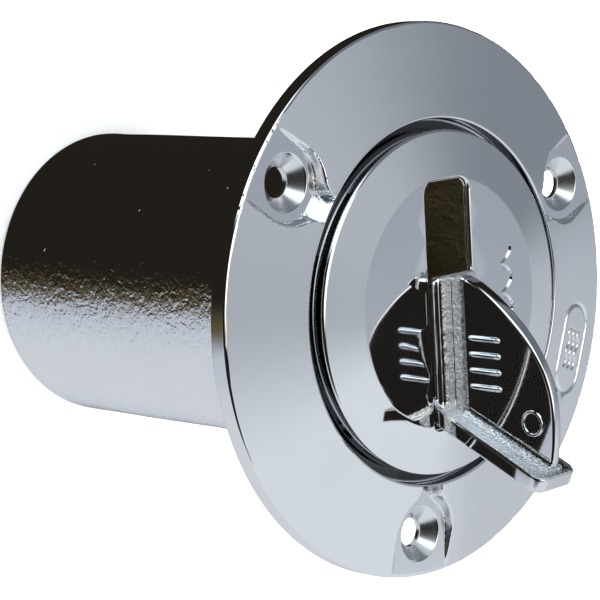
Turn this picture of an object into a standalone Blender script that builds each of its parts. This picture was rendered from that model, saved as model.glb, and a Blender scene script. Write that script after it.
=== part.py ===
"""Through-deck filler with a screw cap and a flip-up folding handle.

Metres, +Z up.  The hose tail stands on its open end at z = 0 with its axis on
+Z.  The screw cap closes the top.  The handle is shown standing open.
"""
import math

import bmesh
import bpy
from mathutils import Matrix, Vector

MM = 0.001

# ---- driving dimensions, millimetres ---------------------------------------
FLANGE_D = 90.0          # deck flange diameter
RIM_Z = 79.0             # tube end to front edge of flange rim
RIM_T = 3.0              # rim thickness
CROWN_H = 2.75           # rise of the coned face from rim to lip
TUBE_D = 51.0            # hose tail outside diameter
TUBE_WALL = 3.0          # hose tail wall
HOLE_INSET = 7.0         # fixing hole centre in from the flange edge
HOLE_D = 4.7             # fixing hole
SINK_D = 8.8             # countersink mouth
PAD_HALF = 6.2           # half width of the flat pad round each hole
NECK_HALF = 1.95         # half width of the drain channel
NECK_FILLET = 1.6        # curve from pad into drain channel
PAD_LIFT = 0.1           # pad floor above the cap recess floor
PAD_DRAFT = 0.12         # wall lean, mm per mm
HOLE_ANGLES = (150.0, 30.0, 270.0)

THREAD_PITCH = 3.0       # cap thread pitch
THREAD_INSET = 0.8       # male thread root inside the hose tail bore
THREAD_HEIGHT = 1.1      # male thread root to crest
THREAD_TURNS = 2.75      # full turns of male thread
THREAD_GAP = 0.3         # running clearance of the thread
THREAD_TOP = 10.6        # male thread start below cap flat
GROOVE_DEPTH = 0.6       # seal groove floor below the thread root
SEAL_STANDOFF = 0.3      # O-ring clear of groove floor and of its seat
SEAL_SECTION_R = 1.2     # O-ring section radius

SEAT_LAND = 5.4          # flat land between seal seat and flange lip
CAP_MARGIN = 1.7         # cap edge inside the flange lip
CAP_FLAT_MARGIN = 0.3    # flat centre of the cap past the slot ends
CAP_PROUD = 3.7          # cap edge above rim edge
CAP_RISE = 1.7           # slope of the cap from edge to flat
CAP_PLATE_T = 3.5        # thickness of the cap top
SKIRT_WALL = 3.0         # wall of the threaded skirt below the thread root
SKIRT_DEPTH = 19.4       # skirt end below cap flat
SLOT_END_WALL = 1.1      # metal left between slot end and groove floor
SLOT_W = 10.3
SLOT_CORNER = 2.2
TAIL_CORNER = 1.1
SLOT_ANGLE = 96.5        # direction of the finger end of the slot
POCKET_CLEAR = 2.2       # pocket floor below the swing of the foot
POCKET_WALL = 1.6

WAVE_PITCH = 4.8         # spacing of the scallops engraved in the cap
WAVE_S = 9.6             # first cusp along the slot
WAVE_SIDE = -11.7        # cusps beside the slot
WAVE_COUNT = 3
WAVE_DEEP = 0.35

PIN_FROM_BAR = 5.4       # hinge pin from the foot of the bar, along the slot
PIN_DEPTH = 3.6          # hinge pin below cap flat
PIN_R = 1.25
PIN_HOLE_R = 1.55
PIN_HEAD_R = 1.7

BAR_LEAN = 114.1         # bar direction from the finger end of the slot
BAR_END_GAP = 0.7        # bar from the hinge end of the slot
BAR_LEN = 21.6
BAR_T = 2.8
HANDLE_SIDE_GAP = 0.3    # handle clear of each side of the slot
BAR_CORNER = 2.2
FOOT_TOP = 1.4           # top of the foot above cap flat
FOOT_END_S = 5.0         # finger end of the foot
WEB_T = 3.0
WEB_BOW = ((0.0619, 0.0531), (0.1406, 0.0992), (0.2336, 0.1398), (0.3352, 0.1714),
           (0.4427, 0.1957), (0.5473, 0.2042), (0.6515, 0.1951), (0.7479, 0.168),
           (0.8389, 0.1212), (0.9354, 0.055))   # edge of the web, in chord lengths
MARK_LIFT = 0.35         # raised grip ribs and ring on the web
RIB_COUNT = 4
RIB_PITCH = 2.6
RING_R = 2.05
HUB_R = 3.0

LATHE_STEPS = 72
THREAD_STEPS = 30

# sizes that follow from the ones above
RIM_R = FLANGE_D / 2.0
BORE_R = TUBE_D / 2.0 - TUBE_WALL
HOLE_R = RIM_R - HOLE_INSET
THREAD_ROOT_R = BORE_R - THREAD_INSET
THREAD_CREST_R = THREAD_ROOT_R + THREAD_HEIGHT
NECK_R = THREAD_ROOT_R - GROOVE_DEPTH
SEAL_R = NECK_R + SEAL_STANDOFF + SEAL_SECTION_R
SEAL_SEAT_R = SEAL_R + SEAL_SECTION_R + SEAL_STANDOFF
LIP_R = SEAL_SEAT_R + SEAT_LAND
CAP_R = LIP_R - CAP_MARGIN
SKIRT_INNER_R = THREAD_ROOT_R - SKIRT_WALL
SLOT_END = NECK_R - SLOT_END_WALL
CAP_FLAT_R = SLOT_END + CAP_FLAT_MARGIN
BAR_FOOT_S = BAR_END_GAP - SLOT_END
BAR_W = SLOT_W - 2.0 * HANDLE_SIDE_GAP
PIN_S = BAR_FOOT_S + PIN_FROM_BAR
POCKET_DEPTH = PIN_DEPTH + FOOT_END_S - PIN_S + POCKET_CLEAR


# ---- scene and mesh helpers -------------------------------------------------
def clear_scene():
    """Remove every object that the new file came with."""
    for obj in list(bpy.data.objects):
        bpy.data.objects.remove(obj, do_unlink=True)


def new_collection(name):
    """Make a collection under the scene."""
    coll = bpy.data.collections.new(name)
    bpy.context.scene.collection.children.link(coll)
    return coll


def make_material(name, colour, roughness, metallic):
    """Make a plain Principled material."""
    mat = bpy.data.materials.new(name)
    mat.use_nodes = True
    bsdf = mat.node_tree.nodes["Principled BSDF"]
    bsdf.inputs["Base Color"].default_value = (*colour, 1.0)
    bsdf.inputs["Roughness"].default_value = roughness
    bsdf.inputs["Metallic"].default_value = metallic
    return mat


def add_mesh(name, verts, faces, coll):
    """Make an object from millimetre vertices and faces, facing out."""
    mesh = bpy.data.meshes.new(name)
    mesh.from_pydata([Vector(v) * MM for v in verts], [], faces)
    bm = bmesh.new()
    bm.from_mesh(mesh)
    bmesh.ops.recalc_face_normals(bm, faces=bm.faces)
    bm.to_mesh(mesh)
    bm.free()
    obj = bpy.data.objects.new(name, mesh)
    coll.objects.link(obj)
    return obj


def lathe(name, profile, coll, steps=LATHE_STEPS):
    """Turn a closed (radius, height) outline about Z."""
    verts = []
    rings = []
    for radius, height in profile:
        if radius < 1e-6:
            rings.append([len(verts)])
            verts.append((0.0, 0.0, height))
            continue
        ring = []
        for i in range(steps):
            a = 2.0 * math.pi * i / steps
            ring.append(len(verts))
            verts.append((radius * math.cos(a), radius * math.sin(a), height))
        rings.append(ring)
    faces = []
    for k, low in enumerate(rings):
        high = rings[(k + 1) % len(rings)]
        if len(low) == 1 and len(high) == 1:
            continue
        for i in range(steps):
            j = (i + 1) % steps
            if len(low) == 1:
                faces.append((low[0], high[i], high[j]))
            elif len(high) == 1:
                faces.append((low[i], low[j], high[0]))
            else:
                faces.append((low[i], low[j], high[j], high[i]))
    return add_mesh(name, verts, faces, coll)


def loft(name, lower, upper, coll):
    """Close a solid between two outlines with the same number of points."""
    count = len(lower)
    verts = list(lower) + list(upper)
    faces = [tuple(range(count)), tuple(range(count, 2 * count))]
    for i in range(count):
        j = (i + 1) % count
        faces.append((i, j, count + j, count + i))
    return add_mesh(name, verts, faces, coll)


def prism_up(name, outline, z0, z1, coll):
    """Extrude a plan (x, y) outline from z0 to z1."""
    lower = [(x, y, z0) for x, y in outline]
    upper = [(x, y, z1) for x, y in outline]
    return loft(name, lower, upper, coll)


def prism_across(name, outline, half_width, coll):
    """Extrude an (s, z) outline to both sides of the slot centre plane."""
    lower = [(s, -half_width, z) for s, z in outline]
    upper = [(s, half_width, z) for s, z in outline]
    return loft(name, lower, upper, coll)


def bar_across(name, s, z, radius, y0, y1, coll, steps=20):
    """Make a round bar lying across the slot."""
    ring = []
    for i in range(steps):
        a = 2.0 * math.pi * i / steps
        ring.append((s + radius * math.cos(a), z + radius * math.sin(a)))
    lower = [(x, y0, h) for x, h in ring]
    upper = [(x, y1, h) for x, h in ring]
    return loft(name, lower, upper, coll)


def helix(name, root_r, crest_r, root_half, crest_half, z_top, turns, coll):
    """Make a thread ridge that runs down from z_top, closed at both ends."""
    steps = int(round(turns * THREAD_STEPS))
    section = ((root_r, root_half), (crest_r, crest_half),
               (crest_r, -crest_half), (root_r, -root_half))
    verts = []
    for i in range(steps + 1):
        a = -2.0 * math.pi * i / THREAD_STEPS
        z = z_top - THREAD_PITCH * i / THREAD_STEPS
        for radius, dz in section:
            verts.append((radius * math.cos(a), radius * math.sin(a), z + dz))
    faces = [(0, 1, 2, 3)]
    for i in range(steps):
        for k in range(4):
            m = (k + 1) % 4
            faces.append((4 * i + k, 4 * i + m, 4 * i + 4 + m, 4 * i + 4 + k))
    last = 4 * steps
    faces.append((last, last + 1, last + 2, last + 3))
    return add_mesh(name, verts, faces, coll)


def slot_outline(steps=5):
    """Plan outline of the slot, finger end at +X."""
    half = SLOT_W / 2.0
    head = SLOT_END - SLOT_CORNER
    tail = TAIL_CORNER - SLOT_END
    points = arc_points(head, half - SLOT_CORNER, SLOT_CORNER, 0.0, 90.0, steps)
    points += arc_points(tail, half - TAIL_CORNER, TAIL_CORNER, 90.0, 180.0, steps)
    points += arc_points(tail, TAIL_CORNER - half, TAIL_CORNER, 180.0, 270.0, steps)
    points += arc_points(head, SLOT_CORNER - half, SLOT_CORNER, 270.0, 360.0, steps)
    return points


def arc_points(cx, cz, radius, start, stop, steps):
    """Points on an arc, angles in degrees."""
    points = []
    for i in range(steps + 1):
        a = math.radians(start + (stop - start) * i / steps)
        points.append((cx + radius * math.cos(a), cz + radius * math.sin(a)))
    return points


def turn_by(obj, degrees):
    """Turn the mesh about Z."""
    obj.data.transform(Matrix.Rotation(math.radians(degrees), 4, "Z"))


def lift_by(obj, height):
    """Raise the mesh, millimetres."""
    obj.data.transform(Matrix.Translation((0.0, 0.0, height * MM)))


def apply_modifiers(obj):
    """Bake the modifiers of one object into its mesh."""
    graph = bpy.context.evaluated_depsgraph_get()
    baked = bpy.data.meshes.new_from_object(obj.evaluated_get(graph))
    obj.modifiers.clear()
    obj.data = baked


def combine(obj, other, operation):
    """Boolean one object with another and bake the result."""
    mod = obj.modifiers.new(operation.lower(), "BOOLEAN")
    mod.operation = operation
    mod.solver = "EXACT"
    mod.object = other
    bpy.context.view_layer.update()
    apply_modifiers(obj)


def soften(obj, width, segments=2, angle=35.0):
    """Round the sharp edges of a simple solid."""
    mod = obj.modifiers.new("round", "BEVEL")
    mod.width = width * MM
    mod.segments = segments
    mod.limit_method = "ANGLE"
    mod.angle_limit = math.radians(angle)
    bpy.context.view_layer.update()
    apply_modifiers(obj)


def tidy(obj):
    """Weld stray doubles left by the cuts."""
    bm = bmesh.new()
    bm.from_mesh(obj.data)
    bmesh.ops.remove_doubles(bm, verts=bm.verts, dist=0.000002)
    bmesh.ops.recalc_face_normals(bm, faces=bm.faces)
    bm.to_mesh(obj.data)
    bm.free()


def finish(obj, material, origin=(0.0, 0.0, 0.0)):
    """Give the piece its material, shading and origin."""
    tidy(obj)
    obj.data.materials.clear()
    obj.data.materials.append(material)
    for poly in obj.data.polygons:
        poly.use_smooth = True
        poly.material_index = 0
    obj.data.set_sharp_from_angle(angle=math.radians(30.0))
    place = Vector(origin)
    obj.data.transform(Matrix.Translation(-place))
    obj.location = place


# ---- shared levels ----------------------------------------------------------
def cap_flat_z():
    """Height of the flat centre of the cap."""
    return RIM_Z + CAP_PROUD + CAP_RISE


def slot_to_world(s, y, z):
    """World place of a point given along the slot, across it and above the cap."""
    a = math.radians(SLOT_ANGLE)
    x_w = s * math.cos(a) - y * math.sin(a)
    y_w = s * math.sin(a) + y * math.cos(a)
    return (x_w * MM, y_w * MM, (z + cap_flat_z()) * MM)


# ---- filler body ------------------------------------------------------------
def pad_outline(grow):
    """Outline of one fixing pad and its drain channel, radial axis along +X."""
    centre = HOLE_R
    half = PAD_HALF + grow
    neck = NECK_HALF + grow
    fillet = NECK_FILLET - grow
    reach = math.sqrt((half + fillet) ** 2 - (neck + fillet) ** 2)
    meet = math.degrees(math.asin((neck + fillet) / (half + fillet)))
    side = [(RIM_R + 3.0, half)]
    side += arc_points(centre, 0.0, half, 90.0, 180.0 - meet, 8)
    side += arc_points(centre - reach, neck + fillet, fillet, -meet, -90.0, 4)
    side.append((LIP_R - 2.5, neck))
    mirrored = [(x, -y) for x, y in reversed(side)]
    return side + mirrored


def pad_cutter(angle, cutters):
    """Cutter for one fixing pad with leaning walls."""
    floor = RIM_Z + PAD_LIFT
    top = RIM_Z + CROWN_H + 2.0
    low = [(x, y, floor) for x, y in pad_outline(0.0)]
    high = [(x, y, top) for x, y in pad_outline(PAD_DRAFT * (top - floor))]
    obj = loft("pad_cutter", low, high, cutters)
    turn_by(obj, angle)
    return obj


def hole_cutter(angle, cutters):
    """Cutter for one countersunk fixing hole."""
    floor = RIM_Z + PAD_LIFT
    sink_r = SINK_D / 2.0
    hole_r = HOLE_D / 2.0
    profile = [(0.0, floor + 1.0), (sink_r + 1.0, floor + 1.0),
               (hole_r, floor - sink_r + hole_r), (hole_r, RIM_Z - RIM_T - 1.0),
               (0.0, RIM_Z - RIM_T - 1.0)]
    obj = lathe("hole_cutter", profile, cutters, 32)
    obj.data.transform(Matrix.Translation((HOLE_R * MM, 0.0, 0.0)))
    turn_by(obj, angle)
    return obj


def make_body(parts, cutters, material):
    """Flange, cap seat, threaded mouth and hose tail in one casting."""
    tube_r = TUBE_D / 2.0
    under = RIM_Z - RIM_T
    crest = THREAD_ROOT_R + THREAD_GAP
    seat_floor = under + 0.1
    thread_end = cap_flat_z() - SKIRT_DEPTH - 1.5
    slope = CROWN_H / (RIM_R - LIP_R)
    profile = [
        (tube_r - 0.6, 0.0), (tube_r - 0.2, 0.15), (tube_r, 0.6),
        (tube_r, under - 1.5), (tube_r + 0.4, under - 0.4), (tube_r + 1.5, under),
        (RIM_R - 0.4, under), (RIM_R, under + 0.4),
        (RIM_R, RIM_Z - 0.4), (RIM_R - 0.12, RIM_Z - 0.12), (RIM_R - 0.4, RIM_Z),
        (LIP_R + 0.5, RIM_Z + CROWN_H - 0.5 * slope), (LIP_R + 0.15, RIM_Z + CROWN_H - 0.12),
        (LIP_R, RIM_Z + CROWN_H - 0.4),
        (LIP_R, RIM_Z), (SEAL_SEAT_R + 0.4, RIM_Z), (SEAL_SEAT_R, RIM_Z - 0.4),
        (SEAL_SEAT_R, seat_floor), (crest + 0.6, seat_floor), (crest, seat_floor - 0.6),
        (crest, thread_end), (BORE_R, thread_end - 0.5),
        (BORE_R, 0.5), (BORE_R + 0.5, 0.0),
    ]
    body = lathe("filler_body", profile, parts)
    groove_top = cap_flat_z() - THREAD_TOP + THREAD_PITCH * 1.2
    turns = THREAD_TURNS + 1.2 + 0.25
    groove = helix("thread_groove", THREAD_ROOT_R, THREAD_CREST_R + THREAD_GAP,
                   1.1, 0.6, groove_top, turns, cutters)
    turn_by(groove, SLOT_ANGLE + 1.2 * 360.0)
    combine(body, groove, "DIFFERENCE")
    for angle in HOLE_ANGLES:
        combine(body, pad_cutter(angle, cutters), "DIFFERENCE")
        combine(body, hole_cutter(angle, cutters), "DIFFERENCE")
    finish(body, material)
    return body


# ---- cap --------------------------------------------------------------------
def cap_profile():
    """Half section of the cap top and threaded skirt, cap flat at zero."""
    edge = -CAP_RISE
    under = RIM_Z + 0.3 - cap_flat_z()
    groove_end = under - 2.0 * SEAL_SECTION_R - 0.6
    end = -SKIRT_DEPTH
    return [
        (0.0, 0.0), (CAP_FLAT_R, 0.0), (CAP_R - 0.35, edge + 0.08),
        (CAP_R, edge - 0.3), (CAP_R, under + 0.3), (CAP_R - 0.3, under),
        (NECK_R, under), (NECK_R, groove_end), (THREAD_ROOT_R, groove_end - 0.1),
        (THREAD_ROOT_R, end + 0.5), (THREAD_ROOT_R - 0.5, end),
        (SKIRT_INNER_R, end), (SKIRT_INNER_R, -CAP_PLATE_T - 0.8),
        (SKIRT_INNER_R - 0.8, -CAP_PLATE_T), (0.0, -CAP_PLATE_T),
    ]


def pocket_profile(wall):
    """Side outline of the handle pocket, grown by the wall thickness."""
    end = SLOT_END
    inner = end - 0.7
    depth = POCKET_DEPTH
    return [
        (-end - wall, 1.0), (-end - wall, 0.0), (-inner - wall, -3.0),
        (-inner - wall, -depth + 1.6 - 0.5 * wall), (-inner + 1.6, -depth - wall),
        (end - 23.0, -depth - wall), (end - 16.5, -depth + 2.4 - wall),
        (end - 10.5 + 0.5 * wall, -depth + 7.6 - wall),
        (end - 5.5 + 0.8 * wall, -13.2 - wall), (end - 2.0 + 0.9 * wall, -9.6 - wall),
        (inner + wall, -6.6 - 0.6 * wall), (inner + wall, -3.0), (end + wall, 0.0),
        (end + wall, 1.0),
    ]


def make_pocket_shell(cutters):
    """Solid housing that carries the pocket under the cap."""
    outline = [(s, min(z, -1.0)) for s, z in pocket_profile(POCKET_WALL)[1:-1]]
    shell = prism_across("pocket_shell", outline, SLOT_W / 2.0 + POCKET_WALL, cutters)
    envelope = lathe("shell_envelope", [(0.0, -0.5), (NECK_R - 0.1, -0.5),
                                        (NECK_R - 0.1, -40.0), (0.0, -40.0)],
                     cutters)
    combine(shell, envelope, "INTERSECT")
    return shell


def make_pocket_cutter(cutters):
    """Cutter for the slot and the handle pocket below it."""
    cutter = prism_across("pocket_cutter", pocket_profile(0.0), SLOT_W, cutters)
    plan = prism_up("slot_plan", slot_outline(), -40.0, 5.0, cutters)
    combine(cutter, plan, "INTERSECT")
    return cutter


def wave_cutter(start, cutters):
    """Tapered cutter for one engraved scallop beside the slot."""
    shape = ((0.0, 0.0), (0.8, -1.7), (1.6, -2.75), (2.5, -3.1), (3.4, -2.8), (4.15, -1.8), (4.8, 0.0))
    path = [Vector((start - along, WAVE_SIDE + out)) for along, out in shape]
    rings = []
    for half, z in ((0.12, -WAVE_DEEP), (0.5, 0.3)):
        left = []
        right = []
        for i, point in enumerate(path):
            run = path[min(i + 1, len(path) - 1)] - path[max(i - 1, 0)]
            side = Vector((-run.y, run.x)).normalized() * half
            left.append((point.x + side.x, point.y + side.y, z))
            right.append((point.x - side.x, point.y - side.y, z))
        rings.append(left + right[::-1])
    return loft("wave_cutter", rings[0], rings[1], cutters)


def make_cap(parts, cutters, material):
    """Screw cap with seal groove, thread, slot and handle pocket."""
    cap = lathe("filler_cap", cap_profile(), parts)
    ridge = helix("thread_ridge", THREAD_ROOT_R - 0.4, THREAD_CREST_R,
                  0.9, 0.35, -THREAD_TOP, THREAD_TURNS, cutters)
    combine(cap, ridge, "UNION")
    combine(cap, make_pocket_shell(cutters), "UNION")
    combine(cap, make_pocket_cutter(cutters), "DIFFERENCE")
    wall_y = SLOT_W / 2.0 + POCKET_WALL
    bore = bar_across("pin_bore", PIN_S, -PIN_DEPTH, PIN_HOLE_R,
                      -wall_y - 1.0, wall_y + 1.0, cutters)
    combine(cap, bore, "DIFFERENCE")
    for side in (-1.0, 1.0):
        spot = bar_across("pin_head_seat", PIN_S, -PIN_DEPTH, PIN_HEAD_R + 0.4,
                          side * wall_y, side * (wall_y + 2.2), cutters)
        combine(cap, spot, "DIFFERENCE")
    for i in range(WAVE_COUNT):
        combine(cap, wave_cutter(WAVE_S - WAVE_PITCH * i, cutters), "DIFFERENCE")
    turn_by(cap, SLOT_ANGLE)
    lift_by(cap, cap_flat_z())
    finish(cap, material)
    return cap


def make_seal(parts, material):
    """O-ring in the groove under the cap edge."""
    centre_z = RIM_Z - 0.05 - SEAL_SECTION_R
    ring = arc_points(SEAL_R, centre_z, SEAL_SECTION_R, 0.0, 330.0, 11)
    seal = lathe("cap_o_ring", ring, parts, 48)
    finish(seal, material)
    return seal


# ---- folding handle ---------------------------------------------------------
def bar_point(along, inward):
    """Point of the bar section, from the foot of its outer face."""
    a = math.radians(BAR_LEAN)
    s = BAR_FOOT_S + along * math.cos(a) + inward * math.sin(a)
    z = along * math.sin(a) - inward * math.cos(a)
    return (s, z)


def make_bar(coll):
    """Flat bar that the hand turns, its free corners rounded."""
    half = BAR_W / 2.0
    end = BAR_LEN - BAR_CORNER
    plan = [(-2.0, -half)]
    plan += arc_points(end, BAR_CORNER - half, BAR_CORNER, -90.0, 0.0, 6)
    plan += arc_points(end, half - BAR_CORNER, BAR_CORNER, 0.0, 90.0, 6)
    plan.append((-2.0, half))
    faces = []
    for inward in (0.0, BAR_T):
        ring = [(*bar_point(along, inward), across) for along, across in plan]
        faces.append([(s, across, z) for s, z, across in ring])
    return loft("handle", faces[0], faces[1], coll)


def make_foot(cutters):
    """Flat foot that lies in the mouth of the slot."""
    half = BAR_W / 2.0
    round_r = 1.2
    outline = [(BAR_FOOT_S + 1.7, -half)]
    outline += arc_points(FOOT_END_S - round_r, -half + round_r, round_r, -90.0, 0.0, 5)
    outline += arc_points(FOOT_END_S - round_r, half - round_r, round_r, 0.0, 90.0, 5)
    outline.append((BAR_FOOT_S + 1.7, half))
    foot = prism_up("handle_foot", outline, FOOT_TOP - 1.8, FOOT_TOP, cutters)
    return foot


def make_web(cutters):
    """Thin web with a bowed outer edge between foot and bar."""
    corner = bar_point(0.5, BAR_T - 0.8)
    tip = bar_point(BAR_LEN - 1.4, BAR_T - 0.8)
    start = Vector((FOOT_END_S - 0.1, FOOT_TOP + 1.0))
    stop = Vector(bar_point(BAR_LEN - 1.53, BAR_T + 1.8))
    run = stop - start
    bow = [tuple(start + run * along + Vector((run.y, -run.x)) * out) for along, out in WEB_BOW]
    edge = [(FOOT_END_S - 0.5, FOOT_TOP - 0.5), tuple(start)] + bow + [tuple(stop)]
    outline = [corner, (FOOT_END_S - 4.0, FOOT_TOP - 0.5)] + edge + [tip]
    web = prism_across("handle_web", outline, WEB_T / 2.0, cutters)
    soften(web, 0.7, 2, 50.0)
    return web


def make_marks(cutters):
    """Raised grip ribs and a small ring, on both faces of the web."""
    reach = WEB_T / 2.0 + MARK_LIFT
    marks = []
    for i in range(RIB_COUNT):
        s = -5.0 - RIB_PITCH * i
        low = 4.6
        high = 10.4
        outline = arc_points(s, high, 0.55, 0.0, 180.0, 6) + arc_points(s, low, 0.55, 180.0, 360.0, 6)
        marks.append(prism_across("grip_rib", outline, reach, cutters))
    s, z = bar_point(BAR_LEN - 7.14, BAR_T + 5.53)
    ring = bar_across("ring_mark", s, z, RING_R, -reach, reach, cutters)
    eye = bar_across("ring_eye", s, z, RING_R - 0.55, -reach - 1.0, reach + 1.0, cutters)
    combine(ring, eye, "DIFFERENCE")
    marks.append(ring)
    return marks


def make_hub(cutters):
    """Round hub on the hinge pin with its root into foot and bar."""
    outline = arc_points(PIN_S, -PIN_DEPTH, HUB_R, 204.1, 360.0, 14)
    outline += [(PIN_S + 5.3, FOOT_TOP - 1.2), (PIN_S + 5.3, FOOT_TOP - 0.5)]
    outline += [(BAR_FOOT_S + 1.5, FOOT_TOP - 0.5), bar_point(0.2, 0.3)]
    return prism_across("handle_hub", outline, BAR_W / 2.0, cutters)


def make_handle(parts, cutters, material):
    """Flip-up handle, standing open."""
    handle = make_bar(parts)
    soften(handle, 0.35, 1, 40.0)
    combine(handle, make_foot(cutters), "UNION")
    combine(handle, make_hub(cutters), "UNION")
    combine(handle, make_web(cutters), "UNION")
    for mark in make_marks(cutters):
        combine(handle, mark, "UNION")
    bore = bar_across("handle_bore", PIN_S, -PIN_DEPTH, PIN_HOLE_R,
                      -BAR_W, BAR_W, cutters)
    combine(handle, bore, "DIFFERENCE")
    turn_by(handle, SLOT_ANGLE)
    lift_by(handle, cap_flat_z())
    finish(handle, material, slot_to_world(PIN_S, 0.0, -PIN_DEPTH))
    return handle


def make_pin(parts, cutters, material):
    """Hinge pin with a headed end on each side of the pocket."""
    wall_y = SLOT_W / 2.0 + POCKET_WALL
    pin = bar_across("hinge_pin", PIN_S, -PIN_DEPTH, PIN_R, -wall_y - 1.2, wall_y + 1.2,
                     parts)
    for side in (-1.0, 1.0):
        head = bar_across("pin_head", PIN_S, -PIN_DEPTH, PIN_HEAD_R,
                          side * (wall_y + 0.3), side * (wall_y + 1.5), cutters)
        combine(pin, head, "UNION")
    turn_by(pin, SLOT_ANGLE)
    lift_by(pin, cap_flat_z())
    finish(pin, material)
    return pin


# ---- assembly ---------------------------------------------------------------
def build():
    """Build every piece."""
    clear_scene()
    parts = new_collection("deck_filler")
    cutters = new_collection("cutters")
    chrome_body = make_material("chromed_casting", (0.72, 0.74, 0.76), 0.12, 1.0)
    chrome_cap = make_material("chromed_cap", (0.76, 0.78, 0.80), 0.08, 1.0)
    chrome_handle = make_material("chromed_handle", (0.70, 0.71, 0.72), 0.10, 1.0)
    rubber = make_material("seal_rubber", (0.03, 0.03, 0.03), 0.60, 0.0)
    steel = make_material("pin_steel", (0.55, 0.55, 0.56), 0.30, 1.0)
    make_body(parts, cutters, chrome_body)
    make_cap(parts, cutters, chrome_cap)
    make_seal(parts, rubber)
    make_handle(parts, cutters, chrome_handle)
    make_pin(parts, cutters, steel)
    for obj in list(cutters.objects):
        obj.hide_render = True
        obj.display_type = "WIRE"


build()
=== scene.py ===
import math

import bmesh
import bpy
import numpy as np
from mathutils import Matrix, Vector


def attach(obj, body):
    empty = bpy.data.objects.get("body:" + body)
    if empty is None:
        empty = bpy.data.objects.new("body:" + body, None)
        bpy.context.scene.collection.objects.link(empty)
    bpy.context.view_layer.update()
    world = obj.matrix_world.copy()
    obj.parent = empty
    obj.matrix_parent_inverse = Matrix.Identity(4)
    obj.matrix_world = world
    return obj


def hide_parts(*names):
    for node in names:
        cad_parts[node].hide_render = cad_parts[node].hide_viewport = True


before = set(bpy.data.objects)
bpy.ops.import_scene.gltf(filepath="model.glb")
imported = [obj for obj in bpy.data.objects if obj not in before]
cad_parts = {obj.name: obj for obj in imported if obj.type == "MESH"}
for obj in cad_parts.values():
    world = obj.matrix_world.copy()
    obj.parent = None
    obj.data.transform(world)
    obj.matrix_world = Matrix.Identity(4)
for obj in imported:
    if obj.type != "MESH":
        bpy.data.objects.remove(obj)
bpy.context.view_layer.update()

# ---- Viewing stand -------------------------------------------------------------
# A pale matt table top, a long-lens camera and soft lamps. Round them stand pale card
# below, grey-blue card above and a dark room behind, which polished chrome shows back.
camera = bpy.data.cameras.new("camera")
camera.lens = 139.18
camera.sensor_width = 36.0
camera.shift_x = -0.0013
camera.shift_y = 0.0045
camera.clip_start = 0.01
camera.clip_end = 50.0
camera_object = bpy.data.objects.new("camera", camera)
bpy.context.scene.collection.objects.link(camera_object)
camera_right = Vector((0.7053, 0.0269, 0.7084))
camera_up = Vector((0.0331, 0.9969, -0.0708))
camera_back = Vector((-0.7081, 0.0735, 0.7023))
camera_place = Vector((-0.27984, 0.02673, 0.32789))
camera_object.matrix_world = Matrix((
    (camera_right.x, camera_up.x, camera_back.x, camera_place.x),
    (camera_right.y, camera_up.y, camera_back.y, camera_place.y),
    (camera_right.z, camera_up.z, camera_back.z, camera_place.z),
    (0.0, 0.0, 0.0, 1.0)))
bpy.context.scene.camera = camera_object
bpy.context.scene.view_settings.view_transform = "Standard"


def math_node(tree, operation, first, second=None, third=None, clamp=False):
    """Add a Math node fed by sockets or numbers and return its output."""
    node = tree.nodes.new("ShaderNodeMath")
    node.operation = operation
    node.use_clamp = clamp
    for slot_index, value in enumerate((first, second, third)):
        if value is None:
            continue
        if isinstance(value, (int, float)):
            node.inputs[slot_index].default_value = value
        else:
            tree.links.new(value, node.inputs[slot_index])
    return node.outputs[0]


def ramp_between(tree, value, low, high):
    """Smooth 0 to 1 as the value goes from low to high."""
    node = tree.nodes.new("ShaderNodeMapRange")
    node.interpolation_type = "SMOOTHSTEP"
    node.inputs["From Min"].default_value = low
    node.inputs["From Max"].default_value = high
    tree.links.new(value, node.inputs["Value"])
    return node.outputs["Result"]


def mix_colour(tree, factor, first, second):
    """Mix two colours, each a socket or a plain colour."""
    node = tree.nodes.new("ShaderNodeMix")
    node.data_type = "RGBA"
    for name, value in (("Factor", factor), ("A", first), ("B", second)):
        socket = [s for s in node.inputs if s.name == name and s.enabled][0]
        if isinstance(value, (int, float)):
            socket.default_value = value
        elif isinstance(value, tuple):
            socket.default_value = (*value, 1.0)
        else:
            tree.links.new(value, socket)
    return [s for s in node.outputs if s.enabled][0]


def reach_along(tree, vector, direction):
    """How far a vector reaches along a direction."""
    node = tree.nodes.new("ShaderNodeVectorMath")
    node.operation = "DOT_PRODUCT"
    node.inputs[1].default_value = direction
    tree.links.new(vector, node.inputs[0])
    return node.outputs["Value"]


world = bpy.data.worlds.new("surround")
world.use_nodes = True
bpy.context.scene.world = world
sky = world.node_tree
sky.nodes.clear()
sky_place = sky.nodes.new("ShaderNodeTexCoord")
sky_axes = sky.nodes.new("ShaderNodeSeparateXYZ")
sky.links.new(sky_place.outputs["Generated"], sky_axes.inputs[0])
sky_x, sky_y, sky_z = sky_axes.outputs
overhead_fall = ramp_between(sky, sky_x, 0.46, 0.86)
upper_grey = mix_colour(sky, overhead_fall, (0.485, 0.515, 0.550), (0.245, 0.267, 0.296))
level_grey = mix_colour(sky, ramp_between(sky, sky_x, 0.46, 0.72),
                        (0.455, 0.485, 0.520), (0.385, 0.410, 0.455))
level_grey = mix_colour(sky, ramp_between(sky, sky_x, 0.80, 0.94), level_grey, (0.490, 0.520, 0.560))
upper_grey = mix_colour(sky, ramp_between(sky, sky_y, 0.12, -0.04), upper_grey, level_grey)
card_white = mix_colour(sky, ramp_between(sky, sky_x, 0.70, 0.84),
                        (0.765, 0.795, 0.825), (0.590, 0.615, 0.645))
card_start = math_node(sky, "MULTIPLY_ADD", sky_x, -0.15, sky_y)
upper_side = mix_colour(sky, ramp_between(sky, card_start, -0.14, -0.38), upper_grey, card_white)
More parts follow.
